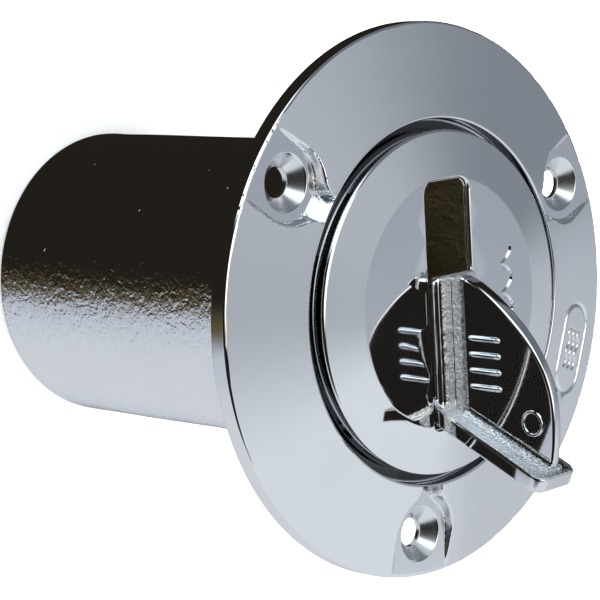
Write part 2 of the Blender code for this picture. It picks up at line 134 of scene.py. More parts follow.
room_brown = mix_colour(sky, ramp_between(sky, sky_y, -0.20, -0.02),
                        (0.125, 0.095, 0.050), (0.018, 0.015, 0.011))
low_white = mix_colour(sky, ramp_between(sky, sky_y, -0.30, -0.60),
                       (0.56, 0.60, 0.67), (0.70, 0.725, 0.755))
lower_side = mix_colour(sky, ramp_between(sky, sky_y, -0.33, -0.17), low_white, room_brown)
surround = mix_colour(sky, ramp_between(sky, sky_z, -0.05, 0.10), lower_side, upper_side)
toward_room = reach_along(sky, sky_place.outputs["Generated"], (-0.720, 0.060, 0.690))
dark_room = ramp_between(sky, toward_room, 0.52, 0.70)
surround = mix_colour(sky, dark_room, surround, (0.016, 0.014, 0.012))
past_card = math_node(sky, "MULTIPLY", ramp_between(sky, sky_y, 0.36, 0.56),
                      ramp_between(sky, sky_z, -0.02, 0.12))
surround = mix_colour(sky, past_card, surround, (0.16, 0.175, 0.20))
window = math_node(sky, "MULTIPLY", past_card, ramp_between(sky, sky_x, 0.0, -0.35))
surround = mix_colour(sky, window, surround, (1.75, 1.95, 2.05))
toward_lamp = reach_along(sky, sky_place.outputs["Generated"], (-0.12, 0.20, 0.972))
lamp_glow = ramp_between(sky, toward_lamp, 0.90, 0.96)
seen_in_metal = mix_colour(sky, lamp_glow, surround, (1.75, 1.68, 1.56))
ray = sky.nodes.new("ShaderNodeLightPath")
plain = math_node(sky, "MAXIMUM", ray.outputs["Is Camera Ray"], ray.outputs["Is Diffuse Ray"])
seen = mix_colour(sky, plain, seen_in_metal, (0.985, 0.985, 0.985))
sky_light = sky.nodes.new("ShaderNodeBackground")
sky_light.inputs["Strength"].default_value = 1.0
sky.links.new(seen, sky_light.inputs["Color"])
sky_out = sky.nodes.new("ShaderNodeOutputWorld")
sky.links.new(sky_light.outputs[0], sky_out.inputs["Surface"])

table_mesh = bpy.data.meshes.new("table_top")
table_mesh.from_pydata([(-4, -4, 0), (4, -4, 0), (4, 4, 0), (-4, 4, 0)], [], [(0, 1, 2, 3)])
table_top = bpy.data.objects.new("table_top", table_mesh)
bpy.context.scene.collection.objects.link(table_top)
table_paint = bpy.data.materials.new("table_paint")
table_paint.use_nodes = True
table_shader = table_paint.node_tree.nodes["Principled BSDF"]
table_shader.inputs["Base Color"].default_value = (0.93, 0.935, 0.94, 1.0)
table_shader.inputs["Roughness"].default_value = 0.85
table_mesh.materials.append(table_paint)
table_top.visible_glossy = False

for name, place, size, watts in (("lamp_over", (0.25, -0.35, 1.05), 1.1, 13.0),
                                 ("lamp_side", (-0.95, -0.25, 0.75), 0.8, 6.0),
                                 ("lamp_back", (0.35, 0.95, 0.80), 0.8, 5.0)):
    lamp = bpy.data.lights.new(name, "AREA")
    lamp.shape = "DISK"
    lamp.size = size
    lamp.energy = watts
    lamp_object = bpy.data.objects.new(name, lamp)
    lamp_object.location = place
    lamp_object.rotation_mode = "QUATERNION"
    lamp_object.rotation_quaternion = (Vector(place) - Vector((0, 0, 0.05))).to_track_quat("Z", "Y")
    lamp_object.visible_glossy = False
    bpy.context.scene.collection.objects.link(lamp_object)

# ---- Filler body -----------------------------------------------------------------
# One chromed brass casting: coned deck flange with three flat screw pads and their
# drain channels, the recess that the cap sits in, and the hose tail left as cast.
MM = 0.001
RIM_R = 45.0
RIM_Z = 79.0
CROWN = 2.75
LIP_R = 29.5
TAIL_R = 25.5
TAIL_BORE_R = 22.5
PAD_RADIUS = 38.0
PAD_HALF = 6.2
CHANNEL_HALF = 1.95
CHANNEL_FILLET = 1.9
PAD_FLOOR = RIM_Z + 0.1
BACK_Z = 76.0
SINK_R = 4.4
PAD_TURNS = (30.0, 150.0, 270.0)
BADGE_TURN = -14.2
BADGE_R = 37.6


def smooth_step(value):
    """Smooth 0 to 1 on arrays."""
    value = np.clip(value, 0.0, 1.0)
    return value * value * (3.0 - 2.0 * value)


def flange_turns():
    """Column angles, close together over the pads and the badge."""
    turns = []
    turn = -44.0
    while turn < 315.9:
        turns.append(turn)
        near_pad = min(abs(turn - pad) for pad in PAD_TURNS) < 12.4
        near_badge = abs(turn - BADGE_TURN) < 13.2
        turn += 0.25 if near_pad or near_badge else 2.0
    return np.radians(np.array(turns))


def channel_distance(u, v):
    """Distance from the edge of a pad and its drain channel, negative inside."""
    round_end = np.where(u < PAD_RADIUS, np.hypot(u - PAD_RADIUS, v), np.abs(v)) - PAD_HALF
    channel = np.abs(v) - CHANNEL_HALF
    blend = np.clip(0.5 + 0.5 * (channel - round_end) / CHANNEL_FILLET, 0.0, 1.0)
    return channel * (1.0 - blend) + round_end * blend - CHANNEL_FILLET * blend * (1.0 - blend)


def flange_height(r, turn):
    """Height of the flange face with pads, channels, badge and casting flaws."""
    crown = RIM_Z + CROWN * (RIM_R - r) / (RIM_R - LIP_R)
    height = crown.copy()
    for k, pad in enumerate(PAD_TURNS):
        u = r * np.cos(turn - math.radians(pad))
        v = r * np.sin(turn - math.radians(pad))
        edge = channel_distance(u, v)
        wall = smooth_step((edge + 0.12) / 0.60)
        flaw = (np.sin(7.1 * u + 2.3 * np.sin(5.3 * v + k)) * np.sin(6.3 * v + 1.7 * np.sin(4.9 * u + 2 * k))
                + 0.6 * np.sin(13.0 * u + 1.1 * k) * np.sin(11.7 * v + 2.0))
        rough = smooth_step(1.0 - np.abs(edge) / 0.9) * smooth_step((35.5 - r) / 4.5)
        pad_height = PAD_FLOOR + (crown - PAD_FLOOR) * wall + 0.05 * rough * flaw
        height = np.where((u > 0) & (edge < 1.2), np.minimum(height, pad_height), height)
    along = r * np.sin(turn - math.radians(BADGE_TURN))
    out = r * np.cos(turn - math.radians(BADGE_TURN)) - BADGE_R
    near = r * np.cos(turn - math.radians(BADGE_TURN)) > 0
    border = np.hypot(np.maximum(np.abs(along) - 4.0, 0.0), out) - 3.7
    cut = 0.30 * np.exp(-(border / 0.28) ** 2)
    for offset in (-1.5, 0.0, 1.5):
        wave = out - offset - 0.35 * np.sin(along * 1.9)
        stroke = np.hypot(np.maximum(np.abs(along) - 3.2, 0.0), wave)
        cut = np.maximum(cut, 0.28 * np.exp(-(stroke / 0.27) ** 2))
    return height - np.where(near, cut, 0.0)


def arc_rows(cx, cz, radius, start, stop, count):
    """Rows of a rounded edge, angles in degrees."""
    rows = []
    for i in range(count + 1):
        a = math.radians(start + (stop - start) * i / count)
        rows.append((cx + radius * math.cos(a), cz + radius * math.sin(a)))
    return rows


def body_rows():
    """Profile rows after the flange face: rim, back, hose tail, bore and cap recess."""
    rows = arc_rows(44.5, 78.57, 0.5, 75.0, 0.0, 5)
    rows += [(45.0, 77.9), (45.0, 77.1)]
    rows += arc_rows(44.65, 76.35, 0.35, 0.0, -90.0, 4)
    rows += [(44.2, BACK_Z), (40.0, BACK_Z), (34.0, BACK_Z), (28.5, BACK_Z)]
    rows += arc_rows(26.7, 74.8, 1.2, 90.0, 180.0, 5)
    rows += [(TAIL_R, 6.0 * k) for k in range(12, 1, -1)]
    rows += [(TAIL_R, 7.0), (TAIL_R, 3.0), (TAIL_R, 1.5)]
    rows += arc_rows(TAIL_R - 0.7, 0.7, 0.7, 0.0, -90.0, 6)
    rows += [(24.0, 0.0), (23.2, 0.0)]
    rows += arc_rows(TAIL_BORE_R + 0.5, 0.5, 0.5, -90.0, -180.0, 4)
    rows += [(TAIL_BORE_R, z) for z in (6.0, 18.0, 30.0, 42.0, 54.0, 62.6)]
    rows += [(22.0, 63.2), (22.0, 63.9), (23.1, 64.5), (23.1, 75.7), (23.4, 76.1), (24.1, 76.1)]
    rows += [(24.1, 78.6), (24.5, 79.0), (26.8, 79.0), (29.2, 79.0)]
    rows += arc_rows(29.2, 79.3, 0.3, -60.0, 0.0, 2)
    rows += [(LIP_R, 80.2)]
    rows += arc_rows(29.9, 81.28, 0.4, 180.0, 105.0, 5)
    return rows


def make_piece(name, verts, faces):
    """Make an object from millimetre points, facing out."""
    mesh = bpy.data.meshes.new(name)
    mesh.from_pydata([(x * MM, y * MM, z * MM) for x, y, z in verts], [], faces)
    work = bmesh.new()
    work.from_mesh(mesh)
    bmesh.ops.recalc_face_normals(work, faces=work.faces)
    work.to_mesh(mesh)
    work.free()
    piece = bpy.data.objects.new(name, mesh)
    bpy.context.scene.collection.objects.link(piece)
    return piece


def ring_solid(name, rings):
    """Join closed rings of points, the last back to the first."""
    count = len(rings[0])
    verts = [point for ring in rings for point in ring]
    faces = []
    total = len(rings)
    for k in range(total):
        m = (k + 1) % total
        for i in range(count):
            j = (i + 1) % count
            faces.append((k * count + i, k * count + j, m * count + j, m * count + i))
    return make_piece(name, verts, faces)


def settle(piece):
    """Turn the piece's modifiers into plain mesh."""
    graph = bpy.context.evaluated_depsgraph_get()
    baked = bpy.data.meshes.new_from_object(piece.evaluated_get(graph))
    piece.modifiers.clear()
    piece.data = baked


def cut_with(piece, cutter, operation="DIFFERENCE", solver="EXACT"):
    """Boolean the piece with another shape, then drop that shape."""
    step = piece.modifiers.new("cut", "BOOLEAN")
    step.operation = operation
    step.solver = solver
    step.object = cutter
    bpy.context.view_layer.update()
    settle(piece)
    bpy.data.objects.remove(cutter, do_unlink=True)


def shade(piece, material, angle=32.0):
    """One material, smooth shading broken at sharp edges."""
    piece.data.materials.clear()
    piece.data.materials.append(material)
    piece.data.polygons.foreach_set("material_index", [0] * len(piece.data.polygons))
    piece.data.polygons.foreach_set("use_smooth", [True] * len(piece.data.polygons))
    piece.data.set_sharp_from_angle(angle=math.radians(angle))
    step = piece.modifiers.new("flat_faces", "WEIGHTED_NORMAL")
    step.weight = 100
    step.keep_sharp = True
    bpy.context.view_layer.update()
    settle(piece)


def link_new(tree, kind, **values):
    """Add a shader node and set its plain inputs by name."""
    node = tree.nodes.new(kind)
    for name, value in values.items():
        node.inputs[name].default_value = value
    return node


def chrome_group():
    """Polishing haze: masks for roughness and tint, and a faint ripple for the bump."""
    group = bpy.data.node_groups.new("polish_haze", "ShaderNodeTree")
    group.interface.new_socket("Scale", in_out="INPUT", socket_type="NodeSocketFloat").default_value = 1.0
    group.interface.new_socket("Roughness", in_out="OUTPUT", socket_type="NodeSocketFloat")
    group.interface.new_socket("Haze", in_out="OUTPUT", socket_type="NodeSocketFloat")
    group.interface.new_socket("Ripple", in_out="OUTPUT", socket_type="NodeSocketFloat")
    source = group.nodes.new("NodeGroupInput")
    result = group.nodes.new("NodeGroupOutput")
    place = group.nodes.new("ShaderNodeTexCoord")
    cloud = link_new(group, "ShaderNodeTexNoise", Detail=4.0, Roughness=0.6)
    fine = link_new(group, "ShaderNodeTexNoise", Detail=3.0, Roughness=0.65)
    speck = link_new(group, "ShaderNodeTexVoronoi")
    for node, scale in ((cloud, 70.0), (fine, 900.0), (speck, 420.0)):
        group.links.new(place.outputs["Object"], node.inputs["Vector"])
        group.links.new(math_node(group, "MULTIPLY", source.outputs["Scale"], scale), node.inputs["Scale"])
    haze = ramp_between(group, cloud.outputs["Fac"], 0.45, 0.75)
    dot = ramp_between(group, speck.outputs["Distance"], 0.10, 0.05)
    group.links.new(haze, result.inputs["Haze"])
    rough = math_node(group, "MULTIPLY_ADD", haze, 0.03, 0.04)
    group.links.new(math_node(group, "MULTIPLY_ADD", dot, 0.10, rough), result.inputs["Roughness"])
    group.links.new(fine.outputs["Fac"], result.inputs["Ripple"])
    return group


def grain_group():
    """As-cast skin under the plating: close pits and ridges for the bump."""
    group = bpy.data.node_groups.new("cast_skin", "ShaderNodeTree")
    group.interface.new_socket("Fineness", in_out="INPUT", socket_type="NodeSocketFloat").default_value = 1.0
    group.interface.new_socket("Height", in_out="OUTPUT", socket_type="NodeSocketFloat")
    source = group.nodes.new("NodeGroupInput")
    result = group.nodes.new("NodeGroupOutput")
    place = group.nodes.new("ShaderNodeTexCoord")
    coarse = link_new(group, "ShaderNodeTexNoise", Detail=2.0, Roughness=0.55, Distortion=0.6)
    close = link_new(group, "ShaderNodeTexNoise", Detail=2.0, Roughness=0.6)
    pit = link_new(group, "ShaderNodeTexVoronoi", Randomness=1.0)
    pimple = link_new(group, "ShaderNodeTexVoronoi", Randomness=1.0)
    for node, scale in ((coarse, 620.0), (close, 1500.0), (pit, 700.0), (pimple, 330.0)):
        group.links.new(place.outputs["Object"], node.inputs["Vector"])
        group.links.new(math_node(group, "MULTIPLY", source.outputs["Fineness"], scale), node.inputs["Scale"])
    grains = math_node(group, "MULTIPLY_ADD", close.outputs["Fac"], 0.45, coarse.outputs["Fac"])
    hollow = ramp_between(group, pit.outputs["Distance"], 0.0, 0.25)
    pits = math_node(group, "MULTIPLY_ADD", hollow, 0.22, grains)
    picked = group.nodes.new("ShaderNodeSeparateColor")
    group.links.new(pimple.outputs["Color"], picked.inputs[0])
    few = ramp_between(group, picked.outputs[0], 0.72, 0.76)
    peak = math_node(group, "MULTIPLY", ramp_between(group, pimple.outputs["Distance"], 0.10, 0.0), few)
    group.links.new(math_node(group, "MULTIPLY_ADD", peak, 1.3, pits), result.inputs["Height"])
    return group


POLISH_HAZE = chrome_group()
CAST_SKIN = grain_group()


def chrome_material(name, tint, skin_mask=None, skin_depth=0.0, fineness=1.0, skin_rough=0.05,
                    skin_tint=None, dull_mask=None, dull_rough=0.0, painted_shade_mask=None):
    """Bright chrome with haze and specks, as-cast skin where the mask is on, and painted shade where the
    shade mask is on.
    """
    material = bpy.data.materials.new(name)
    material.use_nodes = True
    tree = material.node_tree
    shader = tree.nodes["Principled BSDF"]
    shader.inputs["Metallic"].default_value = 1.0
    haze = tree.nodes.new("ShaderNodeGroup")
    haze.node_tree = POLISH_HAZE
    dull = tuple(0.97 * part for part in tint)
    colour = mix_colour(tree, haze.outputs["Haze"], tint, dull)
    bump = tree.nodes.new("ShaderNodeBump")
    bump.inputs["Distance"].default_value = 0.00001
    bump.inputs["Strength"].default_value = 0.05
    tree.links.new(haze.outputs["Ripple"], bump.inputs["Height"])
    normal = bump.outputs["Normal"]
    rough = haze.outputs["Roughness"]
    if skin_mask is not None:
        place = tree.nodes.new("ShaderNodeTexCoord")
        axes = tree.nodes.new("ShaderNodeSeparateXYZ")
        tree.links.new(place.outputs["Object"], axes.inputs[0])
        mask = skin_mask(tree, axes.outputs)
        skin = tree.nodes.new("ShaderNodeGroup")
        skin.node_tree = CAST_SKIN
        skin.inputs["Fineness"].default_value = fineness
        depth = math_node(tree, "MULTIPLY", skin.outputs["Height"], mask)
        cast = tree.nodes.new("ShaderNodeBump")
        cast.inputs["Distance"].default_value = skin_depth
        cast.inputs["Strength"].default_value = 1.0
        tree.links.new(depth, cast.inputs["Height"])
        tree.links.new(normal, cast.inputs["Normal"])
        normal = cast.outputs["Normal"]
        rough = math_node(tree, "MULTIPLY_ADD", mask, skin_rough, rough)
        if skin_tint is not None:
            colour = mix_colour(tree, mask, colour, skin_tint)
        if dull_mask is not None:
            rough = math_node(tree, "MULTIPLY_ADD", dull_mask(tree, axes.outputs), dull_rough, rough)
        if painted_shade_mask is not None:
            # painted shade: the colour goes near black where the shade mask is on
            colour = mix_colour(tree, painted_shade_mask(tree, axes.outputs), colour, (0.07, 0.07, 0.075))
    tree.links.new(colour, shader.inputs["Base Color"])
    tree.links.new(rough, shader.inputs["Roughness"])
    tree.links.new(normal, shader.inputs["Normal"])
    return material


def band(tree, value, low, high):
    """Smooth 0 to 1 between two places given in millimetres."""
    return ramp_between(tree, value, low * MM, high * MM)


def tail_mask(tree, axes):
    """On below the flange, off on the polished flange."""
    return band(tree, axes[2], BACK_Z - 0.3, BACK_Z - 0.8)


def length_of(tree, first, second):
    """Length of the line with these two components."""
    squares = [math_node(tree, "MULTIPLY", value, value) for value in (first, second)]
    return math_node(tree, "SQRT", math_node(tree, "ADD", *squares))


def wall_and_sink_mask(tree, axes):
    """On for the cast walls of the pads and drains and for the turned countersinks."""
    reach = length_of(tree, axes[0], axes[1])
    slope = CROWN / (RIM_R - LIP_R)
    crown = math_node(tree, "MULTIPLY_ADD", reach, -slope, (RIM_Z + slope * RIM_R) * MM)
    below = math_node(tree, "SUBTRACT", crown, axes[2])
    walls = math_node(tree, "MULTIPLY", band(tree, below, 0.06, 0.25),
                      band(tree, axes[2], PAD_FLOOR + 0.02, PAD_FLOOR + 0.25))
    walls = math_node(tree, "MULTIPLY", walls, band(tree, reach, LIP_R + 0.2, LIP_R + 0.5))
    sinks = None
    for pad in PAD_TURNS:
        a = math.radians(pad)
        across = math_node(tree, "SUBTRACT", axes[0], PAD_RADIUS * MM * math.cos(a))
        along = math_node(tree, "SUBTRACT", axes[1], PAD_RADIUS * MM * math.sin(a))
        spot = band(tree, length_of(tree, across, along), SINK_R + 0.1, SINK_R - 0.1)
        sinks = spot if sinks is None else math_node(tree, "MAXIMUM", sinks, spot)
    sinks = math_node(tree, "MULTIPLY", sinks, 0.75)
    return math_node(tree, "MAXIMUM", walls, sinks)


def recess_painted_shade(tree, axes):
    """On for the floor of the recess round the cap, which gets painted shade."""
    reach = length_of(tree, axes[0], axes[1])
    ring = math_node(tree, "MULTIPLY", band(tree, reach, TAIL_BORE_R + 0.1, TAIL_BORE_R + 0.5),
                     band(tree, reach, LIP_R - 0.1, LIP_R - 0.5))
    return math_node(tree, "MULTIPLY", ring, band(tree, axes[2], BACK_Z - 0.5, BACK_Z))


def polar_ring(radii, turns, heights):
    """Points round the axis, one radius and one height for each turn."""
    return [(r * math.cos(t), r * math.sin(t), z) for r, t, z in zip(radii, turns, heights)]


turns = flange_turns()
face_radii = np.linspace(29.97, 44.55, 100)
radius_grid, turn_grid = np.meshgrid(face_radii, turns, indexing="ij")
height_grid = flange_height(radius_grid, turn_grid)
body_rings = [polar_ring(radius_grid[k], turns, height_grid[k]) for k in range(len(face_radii))]
nicks = 0.07 * np.clip(np.sin(61 * turns) * np.sin(37 * turns + 1.0) * np.sin(143 * turns), 0.0, 1.0) ** 1.5
for radius, z in body_rows():
    radii = np.full(len(turns), radius)
    heights = np.full(len(turns), z)
    if radius > 44.5 and z > 78.2:
        radii = radii - nicks
        heights = heights - nicks
    elif radius > 25.4 and 2.0 < z < 74.0:
        wobble = 0.04 * np.sin(3 * turns + z * 0.11) + 0.03 * np.sin(7 * turns - z * 0.23)
        radii = radii + wobble
    body_rings.append(polar_ring(radii, turns, heights))
body_casting = ring_solid("body_casting", body_rings)


def turned_solid(name, rows, steps=240, centre=(0.0, 0.0)):
    """Turn a half section whose first and last points lie on the axis."""
    verts = [(*centre, rows[0][1])]
    for r, z in rows[1:-1]:
        for i in range(steps):
            a = 2.0 * math.pi * i / steps
            verts.append((centre[0] + r * math.cos(a), centre[1] + r * math.sin(a), z))
    verts.append((*centre, rows[-1][1]))
    faces = []
    rings = len(rows) - 2
    for i in range(steps):
        j = (i + 1) % steps
        faces.append((0, 1 + i, 1 + j))
        for k in range(rings - 1):
            low, high = 1 + k * steps, 1 + (k + 1) * steps
            faces.append((low + i, high + i, high + j, low + j))
        faces.append((len(verts) - 1, 1 + (rings - 1) * steps + j, 1 + (rings - 1) * steps + i))
    return make_piece(name, verts, faces)


def screw_hole(turn):
    """Cutter for one countersunk hole whose mouth is slightly rounded."""
    rows = [(0.0, PAD_FLOOR + 1.6), (5.2, PAD_FLOOR + 1.6), (4.72, PAD_FLOOR + 0.10)]
    rows += [(4.52, PAD_FLOOR - 0.04), (4.38, PAD_FLOOR - 0.16), (2.45, PAD_FLOOR - 2.07)]
    rows += [(2.36, PAD_FLOOR - 2.2), (2.36, RIM_Z - 3.1), (2.7, RIM_Z - 4.0), (0.0, RIM_Z - 4.0)]
    a = math.radians(turn)
    return turned_solid("screw_hole", rows, 56, (PAD_RADIUS * math.cos(a), PAD_RADIUS * math.sin(a)))


for turn in PAD_TURNS:
    cut_with(body_casting, screw_hole(turn), solver="MANIFOLD")
# The recess floor round the cap gets painted shade, a near-black colour standing in for the shade in the gap.
body_chrome = chrome_material("body_chrome_plate", (0.83, 0.85, 0.88), tail_mask, 0.00016,
                              dull_mask=wall_and_sink_mask, dull_rough=0.26, painted_shade_mask=recess_painted_shade)
shade(body_casting, body_chrome, 40.0)
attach(body_casting, "filler")
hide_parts("filler_body")

# ---- Female thread -----------------------------------------------------------------
# The thread that the cap screws into, cut in the mouth of the hose tail. It is one
# trapezoid ridge that winds down the bore, so it is made by sweeping along a helix.
THREAD_PITCH = 3.0
BORE_TURNS = 3.4
SLOT_TURN = 96.5
CAP_FLAT_Z = 84.4


def thread_tree(name):
    """Geometry Nodes that sweep a trapezoid along a helix about Z."""
    tree = bpy.data.node_groups.new(name, "GeometryNodeTree")
    tree.interface.new_socket("Geometry", in_out="INPUT", socket_type="NodeSocketGeometry")
    for label, value in (("Root Radius", 0.0231), ("Crest Radius", 0.0220), ("Root Half", 0.0009),
                         ("Crest Half", 0.0004), ("Pitch", 0.003), ("Turns", 3.0), ("Bottom", 0.065),
                         ("Start Turn", 0.0)):
        socket = tree.interface.new_socket(label, in_out="INPUT", socket_type="NodeSocketFloat")
        socket.default_value = value
    tree.interface.new_socket("Finish", in_out="INPUT", socket_type="NodeSocketMaterial")
    tree.interface.new_socket("Geometry", in_out="OUTPUT", socket_type="NodeSocketGeometry")
    given = tree.nodes.new("NodeGroupInput")
    made = tree.nodes.new("NodeGroupOutput")
    spiral = tree.nodes.new("GeometryNodeCurveSpiral")
    spiral.inputs["Resolution"].default_value = 72
    for radius_name in ("Start Radius", "End Radius"):
        tree.links.new(given.outputs["Root Radius"], spiral.inputs[radius_name])
    tree.links.new(given.outputs["Turns"], spiral.inputs["Rotations"])
    height = math_node(tree, "MULTIPLY", given.outputs["Turns"], given.outputs["Pitch"])
    tree.links.new(height, spiral.inputs["Height"])
    upright = tree.nodes.new("GeometryNodeSetCurveNormal")
    upright.mode = "Z_UP"
    tree.links.new(spiral.outputs[0], upright.inputs["Curve"])
    step = math_node(tree, "SUBTRACT", given.outputs["Crest Radius"], given.outputs["Root Radius"])
    section = tree.nodes.new("GeometryNodeCurvePrimitiveQuadrilateral")
    section.mode = "POINTS"
    for index, (out, half, sign) in enumerate(((0.0, "Root Half", 1.0), (step, "Crest Half", 1.0),
                                               (step, "Crest Half", -1.0), (0.0, "Root Half", -1.0))):
        corner = tree.nodes.new("ShaderNodeCombineXYZ")
        if isinstance(out, float):
            corner.inputs[0].default_value = out
        else:
            tree.links.new(out, corner.inputs[0])
        tree.links.new(math_node(tree, "MULTIPLY", given.outputs[half], sign), corner.inputs[1])
        tree.links.new(corner.outputs[0], section.inputs[f"Point {index + 1}"])
    sweep = tree.nodes.new("GeometryNodeCurveToMesh")
    sweep.inputs["Fill Caps"].default_value = True
    tree.links.new(upright.outputs[0], sweep.inputs["Curve"])
    tree.links.new(section.outputs[0], sweep.inputs["Profile Curve"])
    place = tree.nodes.new("GeometryNodeTransform")
    lift = tree.nodes.new("ShaderNodeCombineXYZ")
    tree.links.new(given.outputs["Bottom"], lift.inputs[2])
    tree.links.new(lift.outputs[0], place.inputs["Translation"])
    spin = tree.nodes.new("ShaderNodeCombineXYZ")
    tree.links.new(given.outputs["Start Turn"], spin.inputs[2])
    tree.links.new(spin.outputs[0], place.inputs["Rotation"])
    tree.links.new(sweep.outputs[0], place.inputs["Geometry"])
    real = tree.nodes.new("GeometryNodeRealizeInstances")
    finish = tree.nodes.new("GeometryNodeSetMaterial")
    tree.links.new(place.outputs[0], real.inputs[0])
    tree.links.new(real.outputs[0], finish.inputs["Geometry"])
    tree.links.new(given.outputs["Finish"], finish.inputs["Material"])
    tree.links.new(finish.outputs[0], made.inputs[0])
    return tree


def grown_piece(name, tree, values):
    """Run a Geometry Nodes tree on an empty mesh and keep its result as a plain mesh."""
    piece = bpy.data.objects.new(name, bpy.data.meshes.new(name))
    bpy.context.scene.collection.objects.link(piece)
    step = piece.modifiers.new("grow", "NODES")
    step.node_group = tree
    for socket in tree.interface.items_tree:
        if socket.in_out == "INPUT" and socket.name in values:
            step[socket.identifier] = values[socket.name]
    bpy.context.view_layer.update()
    settle(piece)
    work = bmesh.new()
    work.from_mesh(piece.data)
    bmesh.ops.remove_doubles(work, verts=work.verts, dist=0.0000005)
    bmesh.ops.recalc_face_normals(work, faces=work.faces)
    work.to_mesh(piece.data)
    work.free()
    return piece


THREAD_RIDGE = thread_tree("thread_ridge")
bore_chrome = chrome_material("bore_chrome_plate", (0.80, 0.81, 0.83))
female_thread = grown_piece("female_thread", THREAD_RIDGE, {
    "Root Radius": 0.02320, "Crest Radius": 0.02205, "Root Half": 0.00085, "Crest Half": 0.0004,
    "Pitch": THREAD_PITCH * MM, "Turns": BORE_TURNS, "Bottom": (74.9 - BORE_TURNS * THREAD_PITCH) * MM,
    "Start Turn": math.radians(SLOT_TURN - 48.0 - BORE_TURNS * 360.0), "Finish": bore_chrome})
shade(female_thread, bore_chrome)
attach(female_thread, "filler")

# ---- Screw cap -----------------------------------------------------------------
# The chromed brass cap: a flat centre inside a sloped ring, a deep slot that houses
# the folding handle, and a row of scallops engraved beside the slot.
CAP_R = 27.8
SLOT_END = 20.0
SLOT_W = 10.3
POCKET_DEPTH = 24.7
POCKET_WALL = 1.6
PIN_S = -13.9
PIN_DEPTH = 3.6
PIN_HOLE_R = 1.55
SCALLOP_PITCH = 4.8


def seat_in_cap(piece):
    """Turn a piece made along the slot into its place in the closed cap."""
    turn = Matrix.Rotation(math.radians(SLOT_TURN), 4, "Z")
    piece.data.transform(Matrix.Translation((0.0, 0.0, CAP_FLAT_Z * MM)) @ turn)
    piece.data.update()
    return piece


def stacked_solid(name, outlines):
    """Close a solid through a stack of outlines with equal point counts."""
    count = len(outlines[0])
    verts = [point for outline in outlines for point in outline]
    faces = [tuple(range(count)), tuple(range(len(verts) - count, len(verts)))]
    for k in range(len(outlines) - 1):
        for i in range(count):
            j = (i + 1) % count
            faces.append((k * count + i, k * count + j, (k + 1) * count + j, (k + 1) * count + i))
    return make_piece(name, verts, faces)


def slab_across(name, outline, half):
    """Extrude an outline in the slot's own plane to both sides."""
    return stacked_solid(name, [[(s, -half, z) for s, z in outline], [(s, half, z) for s, z in outline]])


def bar_across(name, s, z, radius, y0, y1, steps=40):
    """Round bar lying across the slot."""
    ring = arc_rows(s, z, radius, 0.0, 360.0 - 360.0 / steps, steps - 1)
    return stacked_solid(name, [[(a, y0, b) for a, b in ring], [(a, y1, b) for a, b in ring]])


def slot_plan(grow):
    """Outline of the slot from above, grown all round."""
    half = SLOT_W / 2.0 + grow
    head, tail, end = 2.2 + grow, 1.1 + grow, SLOT_END + grow
    points = arc_rows(end - head, half - head, head, 0.0, 90.0, 10)
    points += arc_rows(tail - end, half - tail, tail, 90.0, 180.0, 8)
    points += arc_rows(tail - end, tail - half, tail, 180.0, 270.0, 8)
    points += arc_rows(end - head, head - half, head, 270.0, 360.0, 10)
    return points


def pocket_side(wall):
    """Side outline of the handle pocket, grown by its wall."""
    end, inner, depth = SLOT_END, SLOT_END - 0.7, POCKET_DEPTH
    return [(-end - wall, 1.0), (-end - wall, 0.0), (-inner - wall, -3.0),
            (-inner - wall, -depth + 1.6 - 0.5 * wall), (-inner + 1.6, -depth - wall),
            (-3.0, -depth - wall), (3.5, -depth + 2.4 - wall),
            (9.5 + 0.5 * wall, -depth + 7.6 - wall), (14.5 + 0.8 * wall, -13.2 - wall),
            (18.0 + 0.9 * wall, -9.6 - wall), (inner + wall, -6.6 - 0.6 * wall), (inner + wall, -3.0),
            (end + wall, 0.0), (end + wall, 1.0)]


def scallop_cutter(start, first, last):
    """Cutter for one engraved scallop between two cusps."""
    groove = ((-0.60, 0.3), (-0.42, -0.02), (-0.16, -0.34), (0.16, -0.34), (0.42, -0.02), (0.60, 0.3))
    steps = 18
    path = []
    for i in range(steps + 1):
        t = first + (last - first) * i / steps
        path.append(Vector((start - SCALLOP_PITCH * t, -11.7 - 3.1 * math.sin(math.pi * t) ** 0.75)))
    rings = []
    for i, point in enumerate(path):
        run = path[min(i + 1, steps)] - path[max(i - 1, 0)]
        side = Vector((-run.y, run.x)).normalized()
        rings.append([(point.x + side.x * o, point.y + side.y * o, z) for o, z in groove])
    return stacked_solid("scallop_cutter", rings)


cap_rows = [(0.0, 0.0), (6.0, 0.0), (12.0, 0.0), (17.5, 0.0), (20.0, 0.0), (20.2, -0.006), (20.4, -0.028)]
cap_rows += [(20.62, -0.075), (22.5, -0.50), (25.0, -1.07), (27.15, -1.555), (27.42, -1.63), (27.62, -1.74)]
cap_rows += [(27.75, -1.90), (CAP_R, -2.12), (CAP_R, -4.5), (27.72, -4.85), (27.5, -5.05), (27.2, -5.1)]
cap_rows += [(21.1, -5.1), (21.1, -8.1), (21.7, -8.25), (21.7, -18.9), (21.2, -19.4), (18.7, -19.4)]
cap_rows += [(18.7, -4.3), (17.9, -3.5), (0.0, -3.5)]
cap_casting = turned_solid("cap_casting", cap_rows)
wall_y = SLOT_W / 2.0 + POCKET_WALL
shell_side = [(s, min(z, -1.0)) for s, z in pocket_side(POCKET_WALL)[1:-1]]
pocket_shell = slab_across("pocket_shell", shell_side, wall_y)
shell_limit = turned_solid("shell_limit", [(0.0, -0.5), (21.0, -0.5), (21.0, -40.0), (0.0, -40.0)], 96)
cut_with(pocket_shell, shell_limit, "INTERSECT")
cut_with(cap_casting, pocket_shell, "UNION")
pocket_hollow = slab_across("pocket_hollow", pocket_side(0.0), SLOT_W)
slot_shaft = stacked_solid("slot_shaft", [[(x, y, z) for x, y in slot_plan(0.0)] for z in (-40.0, 5.0)])
cut_with(pocket_hollow, slot_shaft, "INTERSECT")
cut_with(cap_casting, pocket_hollow)
